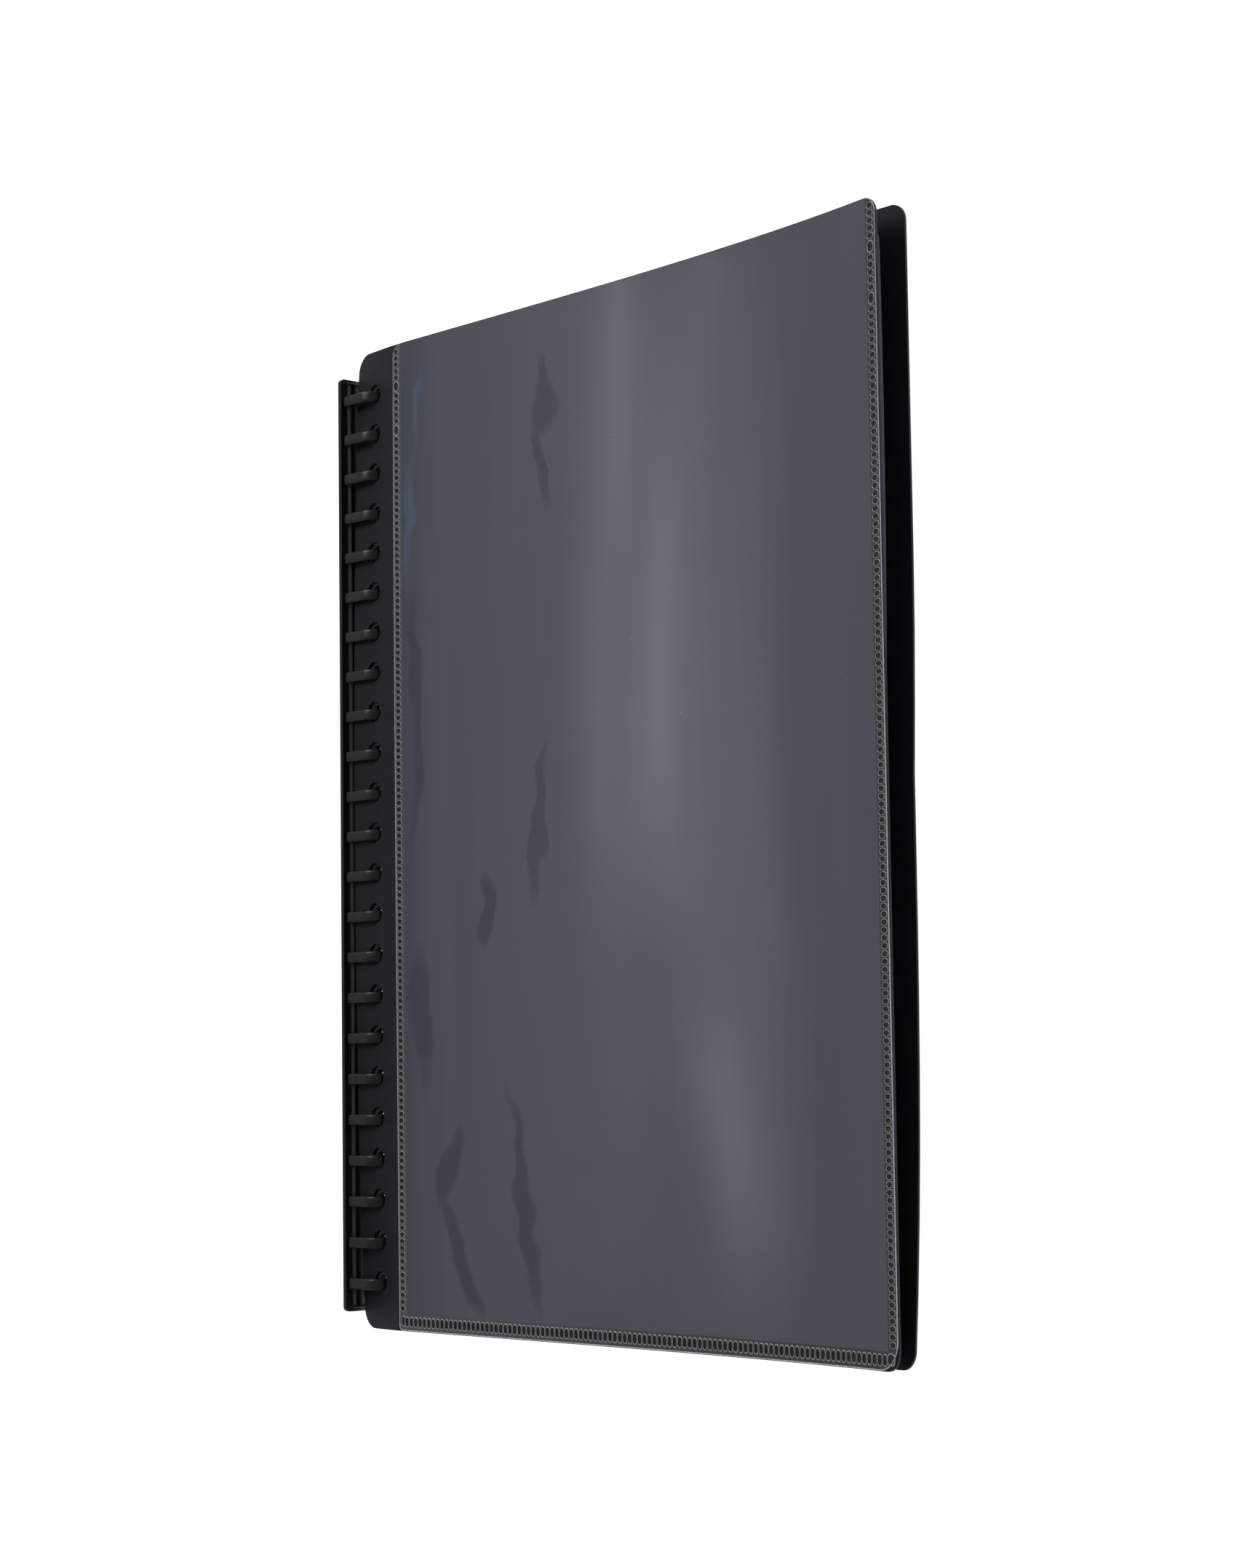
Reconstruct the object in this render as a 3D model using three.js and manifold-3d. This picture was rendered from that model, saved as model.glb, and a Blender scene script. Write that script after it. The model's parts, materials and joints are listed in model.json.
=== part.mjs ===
// A refillable A4 display book: two punched covers with rounded corners, a clear insert pocket
// on the front cover, ten pocket leaves, and a ring comb closed by a spine strip.
//
// Millimetres. X runs from the spine to the fore edge, Y up the page, and Z out of the front
// cover. Lengths below are measured from the covers' spine edge (x = 0), the middle of the page
// (y = 0) and the middle of the stack (z = 0). The group is moved at the end, so that its origin
// is the middle of the surface that the book lies on.
import * as THREE from 'three';
import Module from 'manifold-3d';
import { mergeVertices } from 'three/addons/utils/BufferGeometryUtils.js';

const wasm = await Module();
wasm.setup();

// Driving dimensions -----------------------------------------------------------------------
const coverWidth = 240;
const coverHeight = 308;
const coverThickness = 0.8;
const cornerRadius = 6;

const leafCount = 10;
const leafThickness = 0.15;
const leafPitch = 0.25;
const leafWidth = 236;
const leafHeight = 300;
const leafDrop = 3.5;
const leafCornerRadius = 3;
const leafSpineEdge = 5.5;

const ringCount = 23;
const ringPitch = 12.7;
const ringWidth = 3.4;
const ringThickness = 1.2;
const ringReach = 11.8;
const ringHalfHeight = 4.65;
const ringTip = -2.6;
const ringHook = 0.5;
const combDrop = 0.5;

const holeX = 9.9;
const holeLift = 0.3;
const holeRadius = 3.15;
const leafHoleX = 10.4;
const leafHoleRadius = 3.1;

const stripThickness = 1.4;
const stripHalfWidth = 5;
const stripLength = 295.8;
const stripDrop = 1.1;
const stripEndRadius = 1.5;
const ribHeight = 1.2;
const ribWidth = 0.8;
const ribTops = [2.45, -0.1];

const railWidth = 1.4;
const railHeight = 1.65;
const railLength = 288;

const filmThickness = 0.2;
const filmLeft = 20;
const filmInset = 0.2;

// Every sheet bends along a line just outside the rings. The lines step back from leaf to leaf,
// so that each sheet has room for its own thickness when it turns.
const coverBend = 15.4;
const topLeafBend = 16.5;
const bendStep = 0.3;
const bendGap = 0.1;
const sheetGap = 0.15;
const runningGap = 0.3;
const fitGap = 0.05;

// How far the front cover and the leaves stand open at rest, and how far the back cover closes
// up to them, in degrees.
const frontOpening = 0.66;
const leafOpening = 0.6;
const backClosing = 0.47;

// Handled sheets keep a curl: they rise towards the fore edge as the fourth power of the
// distance from the bend. Each curled sheet is made of this many flat strips.
const frontCurl = 9.4;
const backCurl = 3.7;
const curlPower = 4;
const curlSteps = 10;

// Sizes that follow ------------------------------------------------------------------------
const stackTop = (leafCount * leafPitch) / 2 - (leafPitch - leafThickness) / 2;
const frontInner = stackTop + sheetGap;
const frontOuter = frontInner + coverThickness;
const stripOuter = ringTip - runningGap - stripThickness;
const stripInner = stripOuter + stripThickness;
const panelWidth = coverWidth - coverBend;
const radians = THREE.MathUtils.degToRad;

const part = new THREE.Group();

function plastic(red, green, blue, roughness, opacity = 1) {
  const material = new THREE.MeshStandardMaterial({ roughness, metalness: 0 });
  material.color.setRGB(red, green, blue, THREE.SRGBColorSpace);
  material.opacity = opacity;
  material.transparent = opacity < 1;
  return material;
}

const coverPlastic = plastic(0.17, 0.17, 0.19, 0.55);
const combPlastic = plastic(0.12, 0.12, 0.12, 0.5);
const clearLeaf = plastic(0.72, 0.76, 0.82, 0.25, 0.45);
const clearFilm = plastic(0.6, 0.62, 0.68, 0.2, 0.35);

function addPiece(name, geometry, material, parent = part) {
  const mesh = new THREE.Mesh(geometry, material);
  mesh.name = name;
  parent.add(mesh);
  return mesh;
}

// A rectangle from (x0, y0) to (x1, y1) with a radius at each corner, starting bottom left and
// going round by way of the bottom right.
function roundedOutline(x0, y0, x1, y1, [lowLeft, lowRight, highRight, highLeft]) {
  const shape = new THREE.Shape();
  const quarter = Math.PI / 2;
  const corners = [
    [x0, y0, lowLeft, 1, 1, 2],
    [x1, y0, lowRight, -1, 1, 3],
    [x1, y1, highRight, -1, -1, 0],
    [x0, y1, highLeft, 1, -1, 1],
  ];
  corners.forEach(([x, y, radius, sideX, sideY, quarterIndex], index) => {
    if (radius > 0) {
      const start = quarterIndex * quarter;
      shape.absarc(x + sideX * radius, y + sideY * radius, radius, start, start + quarter);
    } else if (index === 0) {
      shape.moveTo(x, y);
    } else {
      shape.lineTo(x, y);
    }
  });
  shape.closePath();
  return shape;
}

function roundHole(x, y, radius, sides) {
  const hole = new THREE.Path();
  for (let side = 0; side < sides; side += 1) {
    const angle = (2 * Math.PI * (side + 0.5)) / sides;
    const corner = [x + radius * Math.cos(angle), y + radius * Math.sin(angle)];
    if (side === 0) hole.moveTo(...corner);
    else hole.lineTo(...corner);
  }
  hole.closePath();
  return hole;
}

function ringHeightOnPage(index) {
  return ((ringCount - 1) / 2 - index) * ringPitch;
}

// A flat sheet whose lower face is at z = bottom.
function sheet(outline, bottom, thickness, curveSegments = 5) {
  const settings = { depth: thickness, bevelEnabled: false, curveSegments };
  return new THREE.ExtrudeGeometry(outline, settings).translate(0, 0, bottom);
}

// A section drawn in X and Z, run along Y and centred on y = 0.
function bar(section, length, curveSegments = 8) {
  const settings = { depth: length, bevelEnabled: false, curveSegments };
  return new THREE.ExtrudeGeometry(section, settings).rotateX(Math.PI / 2).translate(0, length / 2, 0);
}

// Joins and cuts ------------------------------------------------------------------------
function toSolid(geometry) {
  geometry.deleteAttribute('normal');
  geometry.deleteAttribute('uv');
  const welded = mergeVertices(geometry);
  const vertProperties = new Float32Array(welded.attributes.position.array);
  const triVerts = new Uint32Array(welded.index.array);
  return new wasm.Manifold(new wasm.Mesh({ numProp: 3, vertProperties, triVerts }));
}

function toGeometry(solid) {
  const mesh = solid.getMesh();
  const geometry = new THREE.BufferGeometry();
  geometry.setAttribute('position', new THREE.BufferAttribute(mesh.vertProperties, 3));
  geometry.setIndex(new THREE.BufferAttribute(mesh.triVerts, 1));
  const flat = geometry.toNonIndexed();
  flat.computeVertexNormals();
  return flat;
}

// Punched margins --------------------------------------------------------------------------
function punchedMargin(x0, x1, y0, y1, corner, bottom, thickness, hole) {
  const outline = roundedOutline(x0, y0, x1, y1, [corner, 0, 0, corner]);
  for (let index = 0; index < ringCount; index += 1) {
    outline.holes.push(roundHole(hole.x, hole.y + ringHeightOnPage(index), hole.radius, hole.sides));
  }
  return sheet(outline, bottom, thickness);
}

function addCoverMargin(name, bottom) {
  const end = coverBend - bendGap;
  const hole = { x: holeX, y: holeLift, radius: holeRadius, sides: 12 };
  const half = coverHeight / 2;
  const shape = punchedMargin(0, end, -half, half, cornerRadius, bottom, coverThickness, hole);
  addPiece(name, shape, coverPlastic);
}

// Sheets beyond the bend -------------------------------------------------------------------
// Each has its origin on its bending line. openingDegrees lifts the fore edge.
function bendGroup(x, z, openingDegrees) {
  const group = new THREE.Group();
  group.position.set(x, 0, z);
  group.rotation.y = -radians(openingDegrees);
  part.add(group);
  return group;
}

function panelOutline(bendX, foreEdge, y0, y1, corner) {
  return roundedOutline(bendGap, y0, foreEdge - bendX, y1, [0, corner, corner, 0]);
}

// The corners of a curled sheet's upper line, as [x, z] from its own bending line.
function curlLine(bendX, curl) {
  const corners = [[0, 0]];
  for (let step = 1; step <= curlSteps; step += 1) {
    const share = step / curlSteps;
    const x = coverBend + share * panelWidth;
    corners.push([x - bendX, curl * share ** curlPower]);
  }
  return corners;
}

// A curled sheet cut to an outline, with its lower face at z = bottom at the bend.
function curledSheet(outline, bendX, bottom, thickness, curl, curveSegments = 5) {
  const line = curlLine(bendX, curl);
  const [lastX, lastZ] = line[curlSteps];
  const [beforeX, beforeZ] = line[curlSteps - 1];
  line[curlSteps] = [2 * lastX - beforeX, 2 * lastZ - beforeZ];
  const section = new THREE.Shape();
  section.moveTo(...line[0]);
  line.slice(1).forEach(([x, z]) => section.lineTo(x, z));
  line.reverse().forEach(([x, z]) => section.lineTo(x, z + thickness));
  section.closePath();
  const curled = bar(section, 2 * coverHeight).translate(0, 0, bottom);
  const cutDepth = 8 * frontCurl;
  const cutter = sheet(outline, -cutDepth / 2, cutDepth, curveSegments);
  return toGeometry(toSolid(curled).intersect(toSolid(cutter)));
}

function addFrontCover() {
  const half = coverHeight / 2;
  const group = bendGroup(coverBend, frontOuter, frontOpening);
  const outline = panelOutline(coverBend, coverWidth, -half, half, cornerRadius);
  const cover = curledSheet(outline, coverBend, -coverThickness, coverThickness, frontCurl);
  addPiece('front_cover', cover, coverPlastic, group);

  const left = filmLeft - coverBend;
  const right = coverWidth - coverBend - filmInset;
  const top = half - filmInset;
  const corners = [1, cornerRadius, cornerRadius, 1];
  const film = roundedOutline(left, -top, right, top, corners);
  const pocket = curledSheet(film, coverBend, fitGap, filmThickness, frontCurl);
  addPiece('front_pocket_film', pocket, clearFilm, group);
}

function addBackCover() {
  const half = coverHeight / 2;
  const group = bendGroup(coverBend, -frontOuter, backClosing);
  const outline = panelOutline(coverBend, coverWidth, -half, half, cornerRadius);
  const cover = curledSheet(outline, coverBend, 0, coverThickness, backCurl);
  addPiece('back_cover', cover, coverPlastic, group);
}

// Leaf 1 lies against the back cover and the last one under the front cover.
function addLeaf(number) {
  const tag = String(number).padStart(2, '0');
  const top = -stackTop + leafThickness + (number - 1) * leafPitch;
  const bend = topLeafBend + (leafCount - number) * bendStep;
  const low = -leafHeight / 2 - leafDrop;
  const high = leafHeight / 2 - leafDrop;
  const hole = { x: leafHoleX, y: -combDrop, radius: leafHoleRadius, sides: 8 };
  const end = bend - bendGap;
  const bottom = top - leafThickness;
  const margin = punchedMargin(leafSpineEdge, end, low, high, 0, bottom, leafThickness, hole);
  addPiece(`pocket_leaf_${tag}_margin`, margin, clearLeaf);

  const group = bendGroup(bend, top, leafOpening);
  const outline = panelOutline(bend, leafWidth, low, high, leafCornerRadius);
  const leaf = curledSheet(outline, bend, -leafThickness, leafThickness, frontCurl, 3);
  addPiece(`pocket_leaf_${tag}`, leaf, clearLeaf, group);
}

// Ring comb --------------------------------------------------------------------------------
// One flat ring: a straight front, a half-round end through the holes, and a straight back that
// stops at the rail. Its tip turns down behind the strip's front lip.
function ringSection() {
  const outer = ringHalfHeight;
  const inner = ringHalfHeight - ringThickness;
  const centre = ringReach - ringHalfHeight;
  const tipRadius = ringThickness / 2;
  const rootX = ringTip + railWidth + fitGap;
  const quarter = Math.PI / 2;
  const section = new THREE.Shape();
  section.moveTo(rootX, -outer);
  section.absarc(centre, 0, outer, -quarter, quarter);
  section.absarc(ringTip + tipRadius, outer - tipRadius, tipRadius, quarter, 2 * quarter);
  section.lineTo(ringTip, inner - ringHook);
  section.lineTo(ringTip + ringThickness, inner - ringHook);
  section.lineTo(ringTip + ringThickness, inner);
  section.absarc(centre, 0, inner, quarter, -quarter, true);
  section.lineTo(rootX, -inner);
  section.closePath();
  return section;
}

function addComb() {
  for (let index = 0; index < ringCount; index += 1) {
    const tag = String(index + 1).padStart(2, '0');
    const ring = addPiece(`ring_${tag}`, bar(ringSection(), ringWidth, 6), combPlastic);
    ring.position.y = ringHeightOnPage(index) - combDrop;
  }
  const low = -ringHalfHeight;
  const rail = roundedOutline(ringTip, low, ringTip + railWidth, low + railHeight, [0, 0, 0, 0]);
  addPiece('comb_rail', bar(rail, railLength), combPlastic).position.y = -combDrop;
}

// Spine strip ------------------------------------------------------------------------------
// A flat strip with two lengthwise ribs inside, its four corners rounded in side view.
function stripSection() {
  const section = new THREE.Shape();
  section.moveTo(stripOuter, -stripHalfWidth);
  section.lineTo(stripInner, -stripHalfWidth);
  for (const ribTop of [...ribTops].reverse()) {
    section.lineTo(stripInner, ribTop - ribWidth);
    section.lineTo(stripInner + ribHeight, ribTop - ribWidth);
    section.lineTo(stripInner + ribHeight, ribTop);
    section.lineTo(stripInner, ribTop);
  }
  section.lineTo(stripInner, stripHalfWidth);
  section.lineTo(stripOuter, stripHalfWidth);
  section.closePath();
  return section;
}

function addStrip() {
  const halfLength = stripLength / 2;
  const radii = Array(4).fill(stripEndRadius);
  const sideView = roundedOutline(-stripHalfWidth, -halfLength, stripHalfWidth, halfLength, radii);
  const cutDepth = 2 * (stripThickness + ribHeight);
  const side = sheet(sideView, -cutDepth / 2, cutDepth).rotateY(-Math.PI / 2);
  side.translate(stripInner, 0, 0);
  const solid = toSolid(bar(stripSection(), stripLength)).intersect(toSolid(side));
  addPiece('spine_strip', toGeometry(solid), combPlastic).position.y = -stripDrop;
}

addComb();
addStrip();
addCoverMargin('front_cover_margin', frontInner);
addCoverMargin('back_cover_margin', -frontOuter);
addFrontCover();
addBackCover();
for (let number = 1; number <= leafCount; number += 1) addLeaf(number);

// The book lies on the strip's lower edge and on the lowest line of the back cover. The origin
// is the middle of the surface under it.
function restingTilt() {
  const closing = radians(backClosing);
  const tilts = curlLine(coverBend, backCurl).map(([x, z]) => {
    const along = coverBend + x * Math.cos(closing) - z * Math.sin(closing);
    const height = -frontOuter + x * Math.sin(closing) + z * Math.cos(closing);
    return Math.atan2(height + stripHalfWidth, along - stripInner);
  });
  return Math.min(...tilts);
}

part.rotation.y = restingTilt();
part.updateMatrixWorld(true);
const extent = new THREE.Box3().setFromObject(part, true);
part.position.set(-(extent.min.x + extent.max.x) / 2, 0, -extent.min.z);

export default part;
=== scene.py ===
"""The looks of a refillable A4 display book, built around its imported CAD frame.

Lengths are millimetres in the book's own axes: x from the covers' spine edge towards the fore
edge, y up the page, z out of the front cover, and zero in the middle of the stack of leaves.
to_row() turns them into metres in the row frame."""
import json
import math
import random

import bmesh
import bpy
import numpy as np
from mathutils import Matrix, Vector


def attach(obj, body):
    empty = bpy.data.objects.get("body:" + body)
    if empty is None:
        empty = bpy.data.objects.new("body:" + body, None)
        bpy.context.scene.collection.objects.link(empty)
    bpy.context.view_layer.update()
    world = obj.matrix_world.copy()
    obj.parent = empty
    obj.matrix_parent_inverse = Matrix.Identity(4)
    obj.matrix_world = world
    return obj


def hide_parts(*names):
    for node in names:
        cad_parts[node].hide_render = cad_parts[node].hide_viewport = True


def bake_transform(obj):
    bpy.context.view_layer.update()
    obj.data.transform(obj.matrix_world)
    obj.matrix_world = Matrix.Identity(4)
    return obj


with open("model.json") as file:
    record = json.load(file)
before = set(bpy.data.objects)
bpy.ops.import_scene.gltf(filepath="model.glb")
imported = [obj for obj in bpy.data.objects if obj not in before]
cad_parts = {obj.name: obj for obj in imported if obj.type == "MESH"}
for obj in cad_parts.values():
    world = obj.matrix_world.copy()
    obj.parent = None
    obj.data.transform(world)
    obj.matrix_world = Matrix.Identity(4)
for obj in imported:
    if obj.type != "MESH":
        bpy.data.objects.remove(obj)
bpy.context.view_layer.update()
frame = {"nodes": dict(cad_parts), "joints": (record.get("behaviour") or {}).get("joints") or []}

# Driving sizes that the boxes of the CAD nodes don't show -----------------------------------
MM = 0.001
RING_COUNT = 23
LEAF_COUNT = 10
LEAF_WIDTH = 236.0
COVER_BEND = 15.4
CORNER_RADII = (6.0, 5.0, 5.0, 6.0)
LEAF_CORNER_RADIUS = 3.0
HOLE_X = 9.9
HOLE_LIFT = 0.3
FRONT_HOLE_RADIUS = 3.15
BACK_HOLE_RADIUS = 2.7
LEAF_WELD_X = 233.0
LEAF_WELD_Y = -145.5
LEAF_HOLE_X = 10.4
LEAF_HOLE_RADIUS = 3.1
FRONT_OPENING = math.radians(0.66)
LEAF_OPENING = math.radians(0.6)
BACK_CLOSING = math.radians(0.47)
FRONT_CURL = 9.4
BACK_CURL = 3.7
CURL_POWER = 4
RING_THICKNESS = 1.2
STRIP_THICKNESS = 1.4
STRIP_END_RADIUS = 1.5
RIB_WIDTH = 0.8
RIB_TOPS = (2.45, -0.1)
PRESSED_WIDTH = 24.0
PRESSED_POWER = 1.3
END_POWER = 2.5
MIDDLE_LIFT = 0.5
END_DROP = 1.2
END_SQUEEZE = 1.4

# The camera, placed and aimed in the book's axes --------------------------------------------
CAMERA_PLACE = Vector((819.9, -79.2, 638.0))
CAMERA_AIM = Vector((-0.73366, 0.09089, -0.67341))
CAMERA_UP = Vector((0.07631, 0.99577, 0.05126))
CAMERA_LENS = 75.3
CAMERA_SENSOR = 36.0


# The book's axes in the row frame -------------------------------------------------------------
def joint_place(name):
    joint = next(j for j in frame["joints"] if j["name"] == name)
    return Vector(joint["pos_m"])


def book_placement():
    """Both covers' bending lines lie at x = COVER_BEND, one straight above the other."""
    front = joint_place("front_cover_bend")
    back = joint_place("back_cover_bend")
    out = (front - back).normalized()
    up_page = Vector((0, 1, 0))
    across = up_page.cross(out)
    turn = Matrix((across, up_page, out)).transposed().to_4x4()
    origin = (front + back) / 2 - across * COVER_BEND * MM
    return Matrix.Translation(origin) @ turn @ Matrix.Scale(MM, 4)


TO_ROW = book_placement()
TO_BOOK = TO_ROW.inverted()


def to_row(point):
    return TO_ROW @ Vector(point)


def direction_in_row(direction):
    return (TO_ROW.to_3x3() @ Vector(direction)).normalized()


def book_box(node):
    """Lowest and highest corner of a CAD node, in the book's axes."""
    points = np.array([TO_BOOK @ v.co for v in frame["nodes"][node].data.vertices])
    return points.min(0), points.max(0)


FRONT_LOW, FRONT_HIGH = book_box("front_cover_margin")
COVER_THICKNESS = FRONT_HIGH[2] - FRONT_LOW[2]
FRONT_OUTER = FRONT_HIGH[2]
HALF_HEIGHT = FRONT_HIGH[1]
COVER_WIDTH = 240.0
RING_LOW, RING_HIGH = book_box("ring_01")
RING_WIDTH = RING_HIGH[1] - RING_LOW[1]
TOP_RING_Y = (RING_HIGH[1] + RING_LOW[1]) / 2
LAST_RING_HIGH = book_box(f"ring_{RING_COUNT}")[1]
RING_PITCH = (RING_HIGH[1] - LAST_RING_HIGH[1]) / (RING_COUNT - 1)
STRIP_LOW, STRIP_HIGH = book_box("spine_strip")
RAIL_LOW, RAIL_HIGH = book_box("comb_rail")
COMB_DROP = -(RAIL_LOW[1] + RAIL_HIGH[1]) / 2


# Shader building ------------------------------------------------------------------------------
class Shader:
    """A material whose nodes are added one at a time, all reading the piece's place on the page."""

    def __init__(self, name):
        self.material = bpy.data.materials.new(name)
        self.material.use_nodes = True
        self.nodes = self.material.node_tree.nodes
        self.links = self.material.node_tree.links
        self.surface = self.nodes["Principled BSDF"]
        place = self.nodes.new("ShaderNodeAttribute")
        place.attribute_name = "page"
        self.page = place.outputs["Vector"]

    def fill(self, socket, value):
        if isinstance(value, bpy.types.NodeSocket):
            self.links.new(value, socket)
        else:
            socket.default_value = value

    def set(self, **values):
        for name, value in values.items():
            self.fill(self.surface.inputs[name.replace("_", " ")], value)

    def math(self, operation, first, second):
        node = self.nodes.new("ShaderNodeMath")
        node.operation = operation
        self.fill(node.inputs[0], first)
        self.fill(node.inputs[1], second)
        return node.outputs[0]

    def stretched(self, scale):
        node = self.nodes.new("ShaderNodeMapping")
        self.fill(node.inputs["Vector"], self.page)
        node.inputs["Scale"].default_value = scale
        return node.outputs[0]

    def noise(self, scale, detail=3.0, roughness=0.55, vector=None):
        node = self.nodes.new("ShaderNodeTexNoise")
        self.fill(node.inputs["Vector"], vector or self.page)
        node.inputs["Scale"].default_value = scale
        node.inputs["Detail"].default_value = detail
        node.inputs["Roughness"].default_value = roughness
        return node.outputs["Fac"]

    def specks(self, scale, size):
        """1 inside small round specks, about one to a cell of 1 / scale mm."""
        node = self.nodes.new("ShaderNodeTexVoronoi")
        self.fill(node.inputs["Vector"], self.page)
        node.inputs["Scale"].default_value = scale
        return self.ramp(node.outputs["Distance"], (0.0, 1.0), (size, 0.0))

    def ramp(self, value, *stops):
        """Straight lines between (input, output) stops."""
        node = self.nodes.new("ShaderNodeMapRange")
        node.clamp = True
        (low, low_out), (high, high_out) = stops
        self.fill(node.inputs["Value"], value)
        node.inputs["From Min"].default_value = low
        node.inputs["From Max"].default_value = high
        node.inputs["To Min"].default_value = low_out
        node.inputs["To Max"].default_value = high_out
        return node.outputs["Result"]

    def mix(self, share, first, second):
        node = self.nodes.new("ShaderNodeMix")
        node.data_type = "RGBA"
        self.fill(node.inputs["Factor"], share)
        self.fill(node.inputs["A"], first)
        self.fill(node.inputs["B"], second)
        return node.outputs["Result"]

    def coordinate(self, axis):
        node = self.nodes.new("ShaderNodeSeparateXYZ")
        self.fill(node.inputs[0], self.page)
        return node.outputs[axis]

    def bump(self, height, depth_mm, strength=1.0):
        node = self.nodes.new("ShaderNodeBump")
        node.inputs["Distance"].default_value = depth_mm * MM
        node.inputs["Strength"].default_value = strength
        self.fill(node.inputs["Height"], height)
        self.fill(self.surface.inputs["Normal"], node.outputs[0])


# Materials ------------------------------------------------------------------------------------
def cover_plastic():
    """Matt black polypropylene with a fine sand grain and faint handling marks."""
    s = Shader("cover_plastic")
    grain = s.noise(3.2, 4.0, 0.6)
    cloud = s.noise(0.02, 3.0)
    scuff = s.ramp(s.noise(0.35, 5.0, 0.7, s.stretched((0.25, 2.2, 1.0))), (0.62, 0.0), (0.8, 1.0))
    worn = s.math("MULTIPLY", scuff, s.ramp(cloud, (0.45, 0.0), (0.7, 0.5)))
    cloudy = s.ramp(cloud, (0.3, 0.0), (0.7, 1.0))
    base = s.mix(cloudy, (0.0105, 0.01, 0.0136, 1), (0.0145, 0.0138, 0.0182, 1))
    s.set(Base_Color=s.mix(worn, base, (0.027, 0.0265, 0.032, 1)))
    s.set(Roughness=s.ramp(grain, (0.3, 0.5), (0.7, 0.66)), Specular_IOR_Level=0.22)
    s.bump(grain, 0.03, 0.55)
    return s.material


def comb_plastic():
    """Satin black moulded plastic, softly uneven."""
    s = Shader("comb_plastic")
    uneven = s.noise(0.7, 3.0)
    fine = s.noise(6.0, 2.0)
    cloudy = s.ramp(uneven, (0.3, 0.0), (0.7, 1.0))
    base = s.mix(cloudy, (0.0085, 0.0085, 0.0088, 1), (0.0125, 0.0125, 0.0128, 1))
    s.set(Base_Color=base, Specular_IOR_Level=0.45)
    s.set(Roughness=s.ramp(fine, (0.3, 0.3), (0.7, 0.42)))
    s.bump(s.math("ADD", uneven, s.math("MULTIPLY", fine, 0.25)), 0.06, 0.5)
    return s.material


def ridge_painted_highlight():
    """The ribs inside the strip, painted greyer than the plastic round them as a painted highlight for
    the light they catch.
    """
    s = Shader("ridge_painted_highlight")
    uneven = s.noise(0.5, 4.0, 0.6, s.stretched((1.0, 0.2, 1.0)))
    uneven_highlight = s.ramp(uneven, (0.3, 0.0), (0.7, 1.0))
    # painted highlight: a lighter grey base, uneven along the ribs
    base = s.mix(uneven_highlight, (0.045, 0.044, 0.044, 1), (0.075, 0.073, 0.073, 1))
    s.set(Base_Color=base, Roughness=0.5, Specular_IOR_Level=0.4)
    return s.material


def strokes(s, patches, full, gone):
    """1 inside leaning ovals (x, y, half width, half height, lean) whose outlines are bent by noise.
    full and gone are the squared shares of an oval's reach where it starts and ends to fade."""
    x = s.math("ADD", s.coordinate("X"), s.ramp(s.noise(0.05, 1.5), (0.0, -7.0), (1.0, 7.0)))
    y = s.math("ADD", s.coordinate("Y"), s.ramp(s.noise(0.03, 1.0), (0.0, -12.0), (1.0, 12.0)))
    total = None
    for middle_x, middle_y, half_width, half_height, lean in patches:
        above = s.math("SUBTRACT", y, middle_y)
        beside = s.math("SUBTRACT", s.math("SUBTRACT", x, middle_x), s.math("MULTIPLY", above, lean))
        across = s.math("DIVIDE", beside, half_width)
        along = s.math("DIVIDE", above, half_height)
        reach = s.math("ADD", s.math("MULTIPLY", across, across), s.math("MULTIPLY", along, along))
        patch = s.ramp(reach, (full, 1.0), (gone, 0.0))
        total = patch if total is None else s.math("MAXIMUM", total, patch)
    return total


CLING = (
    (94, 120, 6.6, 8, 0.0), (93, 128, 2.6, 9, 0.0), (92.5, 104, 2.8, 12, 0.0),
    (31.5, 34, 3.0, 41, 0.0), (89, 0, 2.7, 22, 0.12), (64.5, -28, 3.3, 9.5, 0.0),
    (33, -57, 5.5, 20.5, -0.05), (45.5, -104, 4.6, 14, 0.25), (51, -132, 4.4, 19, -0.42),
    (80.5, -112, 3.3, 34, -0.17),
)
GLINTS = ((28, 96, 2.6, 22, 0.05), (31.5, 133, 2.2, 15, 0.12))


def pocket_film():
    """Clear film, milky on its inner side, over the black cover."""
    s = Shader("pocket_film")
    streaks = s.noise(0.045, 4.0, 0.6, s.stretched((1.0, 0.09, 1.0)))
    cloud = s.noise(0.018, 4.0, 0.6)
    cling = s.math("MULTIPLY", strokes(s, CLING, 0.45, 1.35), 0.58)
    glint = s.math("MULTIPLY", strokes(s, GLINTS, 0.0, 1.2), 0.75)
    streaky = s.ramp(streaks, (0.35, 0.0), (0.65, 1.0))
    milky = s.mix(streaky, (0.127, 0.132, 0.168, 1), (0.142, 0.14, 0.172, 1))
    milky = s.mix(s.ramp(cloud, (0.3, 0.0), (0.7, 0.35)), milky, (0.124, 0.14, 0.18, 1))
    streaked_x = s.math("ADD", s.coordinate("X"), s.math("MULTIPLY", streaks, 12))
    taut = s.ramp(streaked_x, (30.0, 0.7), (50.0, 0.0))
    milky = s.mix(taut, milky, (0.066, 0.076, 0.108, 1))
    dust = s.math("MULTIPLY", s.specks(0.11, 0.035), s.ramp(s.noise(0.4, 1.0), (0.5, 0.0), (0.6, 0.55)))
    base = s.mix(cling, milky, (0.066, 0.074, 0.104, 1))
    base = s.mix(glint, base, (0.12, 0.16, 0.25, 1))
    s.set(Base_Color=s.mix(dust, base, (0.42, 0.42, 0.45, 1)))
    s.set(Roughness=s.ramp(streaks, (0.3, 0.115), (0.7, 0.15)), Specular_IOR_Level=0.5)
    s.set(Alpha=s.ramp(cling, (0.0, 0.82), (1.0, 0.72)))
    s.bump(s.noise(0.25, 4.0, 0.6), 0.05, 0.25)
    return s.material


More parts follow.
